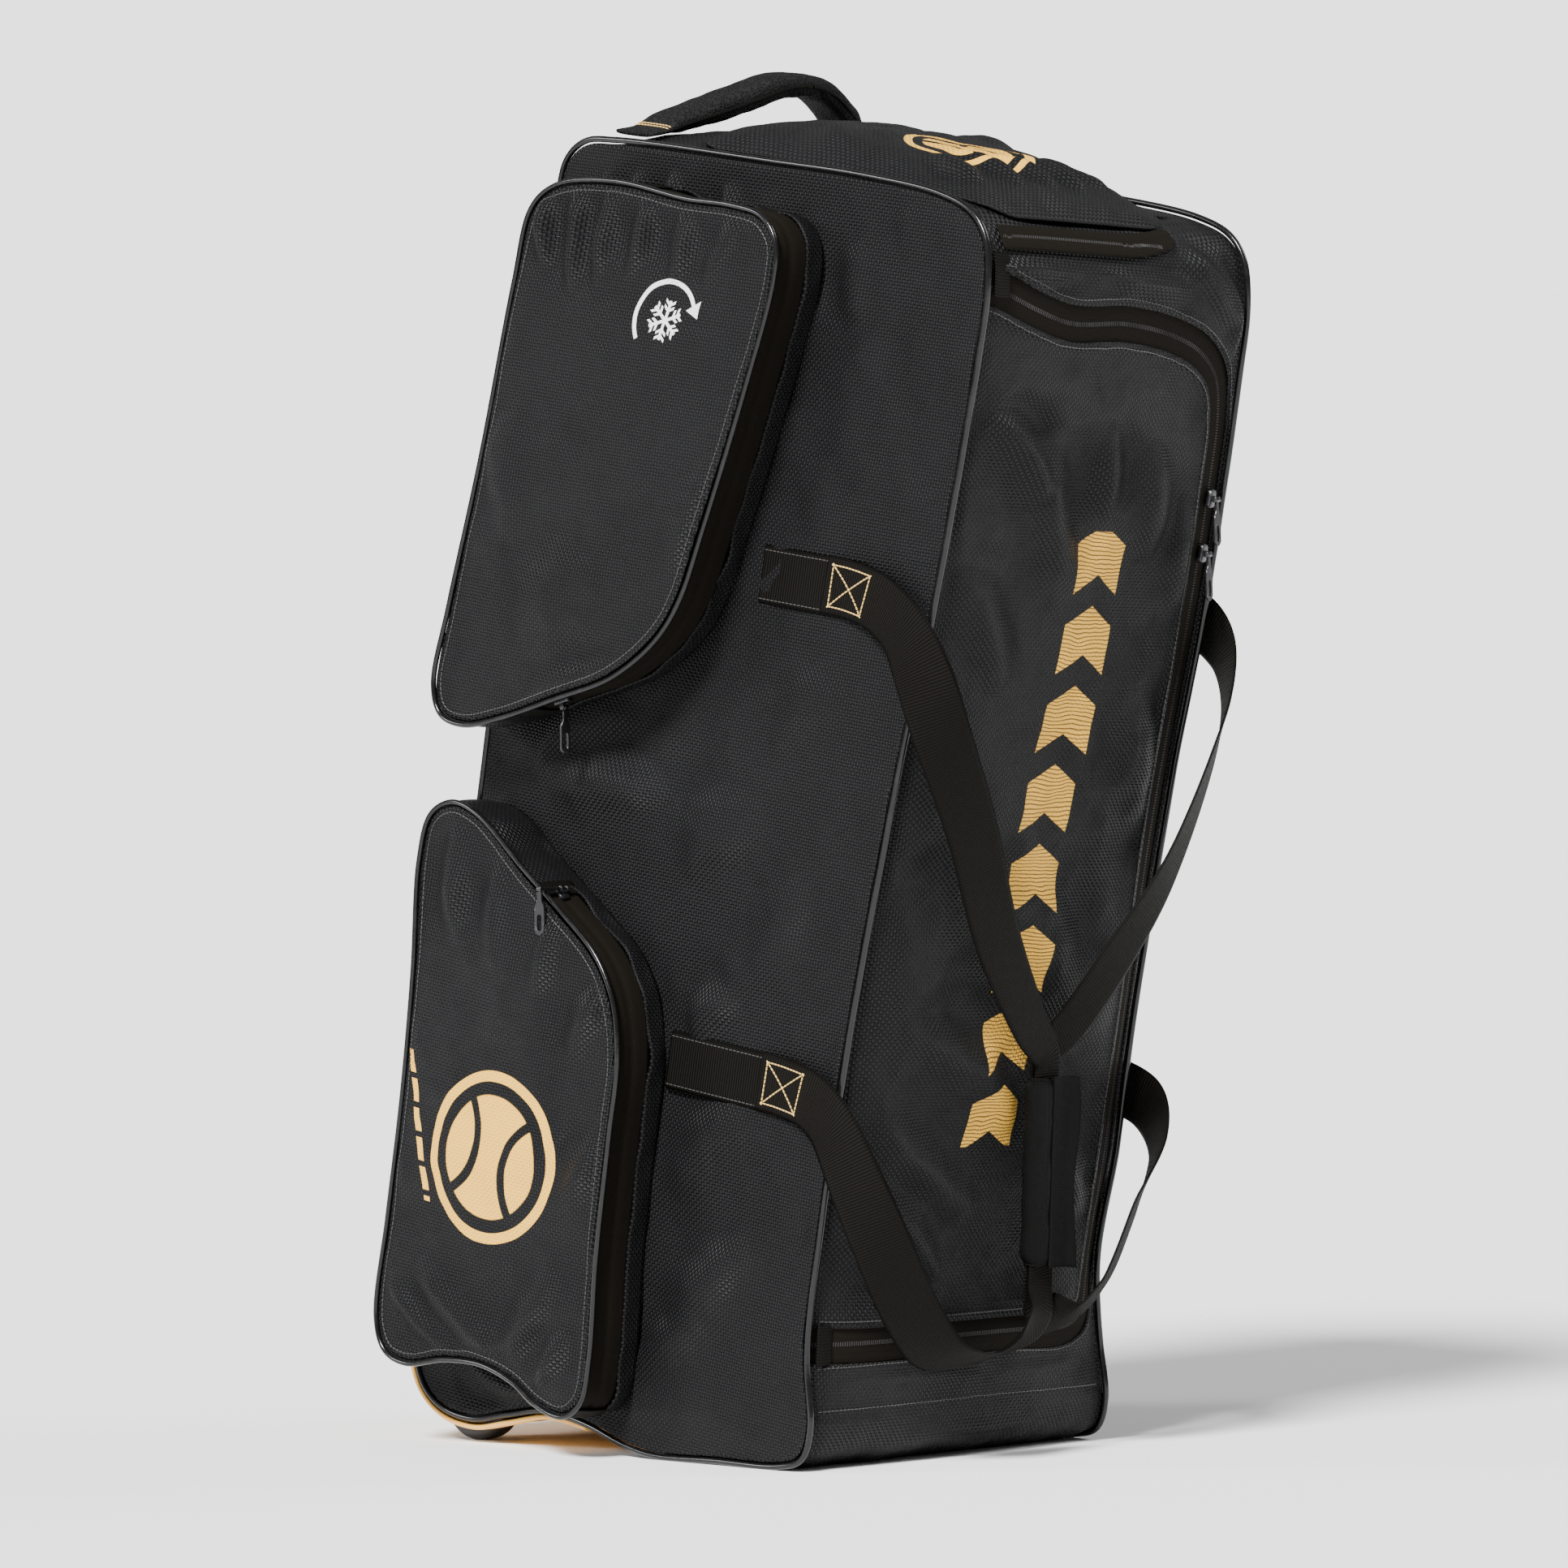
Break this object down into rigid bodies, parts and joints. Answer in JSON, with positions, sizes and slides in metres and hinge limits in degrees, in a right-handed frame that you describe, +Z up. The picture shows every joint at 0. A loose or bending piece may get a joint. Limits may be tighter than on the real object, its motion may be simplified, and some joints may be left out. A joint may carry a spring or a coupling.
{
  "type": "wheeled cricket kit bag",
  "caption": "Upright padded fabric kit bag for cricket gear: piped edges, a U-shaped zip lid, deep side pockets, an end pocket, webbing carry straps joined by a grip, a top handle and wheels.",
  "frame": {"origin": "middle of the bounding box on the floor", "axes": "+Z up the bag's height, -Y out of its lid, -X out of the side that carries the pockets"},
  "size_m": [0.3772, 0.5224, 0.9588],
  "materials": {
    "nylon": "woven nylon with a soft sheen",
    "lid": "woven nylon, printed",
    "zip": "knitted zip tape",
    "piping": "glossy cord",
    "webbing": "ribbed webbing",
    "padding": "padded mesh fabric",
    "guard": "satin moulded plastic",
    "housing": "moulded plastic",
    "tyre": "hard moulded wheel",
    "hardware": "dark plated metal"
  },
  "bodies": {
    "bag": {"front_border": "nylon", "lid_zip": "zip", "lid_panel": "lid", "top_panel": "nylon", "back_panel": "nylon", "base_panel": "nylon", "wheel_tray": "guard", "wheel_housing_left": "housing", "wheel_housing_right": "housing", "side_panel_left": "nylon", "side_panel_right": "nylon", "piping_left": "piping", "piping_right": "piping", "cool_pocket_front": "nylon", "cool_pocket_gusset": "nylon", "cool_pocket_zip": "zip", "cool_pocket_piping": "piping", "lower_pocket_front": "nylon", "lower_pocket_gusset": "nylon", "lower_pocket_zip": "zip", "lower_pocket_piping": "piping", "web_band_upper_left": "webbing", "web_band_lower_left": "webbing", "web_band_upper_right": "webbing", "web_band_lower_right": "webbing", "carry_strap_left": "webbing", "carry_strap_right": "webbing", "grip_wrap": "padding", "top_handle": "padding", "end_pocket": "nylon", "end_pocket_zip": "zip", "cool_pocket_slider": "hardware", "lower_pocket_slider": "hardware", "lid_upper_slider": "hardware", "lid_lower_slider": "hardware"},
    "wheel_left": {"wheel_left": "tyre"},
    "wheel_right": {"wheel_right": "tyre"},
    "cool_pocket_puller": {"cool_pocket_puller": "hardware"},
    "lid_upper_puller": {"lid_upper_puller": "hardware"},
    "lid_lower_puller": {"lid_lower_puller": "hardware"}
  },
  "joints": [
    {"name": "wheel_left_spin", "type": "hinge", "parent": "bag", "child": "wheel_left", "pos_m": [-0.10463, 0.21501, 0.03], "axis": [1, 0, 0], "continuous": true},
    {"name": "wheel_right_spin", "type": "hinge", "parent": "bag", "child": "wheel_right", "pos_m": [0.15037, 0.21501, 0.03], "axis": [1, 0, 0], "continuous": true},
    {"name": "cool_pocket_puller_swing", "type": "hinge", "parent": "bag", "child": "cool_pocket_puller", "pos_m": [-0.15823, 0.08491, 0.51266], "axis": [-1, 0, 0], "range_deg": [-50, 50]},
    {"name": "lid_upper_puller_swing", "type": "hinge", "parent": "bag", "child": "lid_upper_puller", "pos_m": [0.14766, -0.24028, 0.65502], "axis": [-0.976, -0.213, -0.0453], "range_deg": [0, 150]},
    {"name": "lid_lower_puller_swing", "type": "hinge", "parent": "bag", "child": "lid_lower_puller", "pos_m": [0.14849, -0.23236, 0.61769], "axis": [-0.9741, -0.2209, -0.049], "range_deg": [0, 110]}
  ]
}
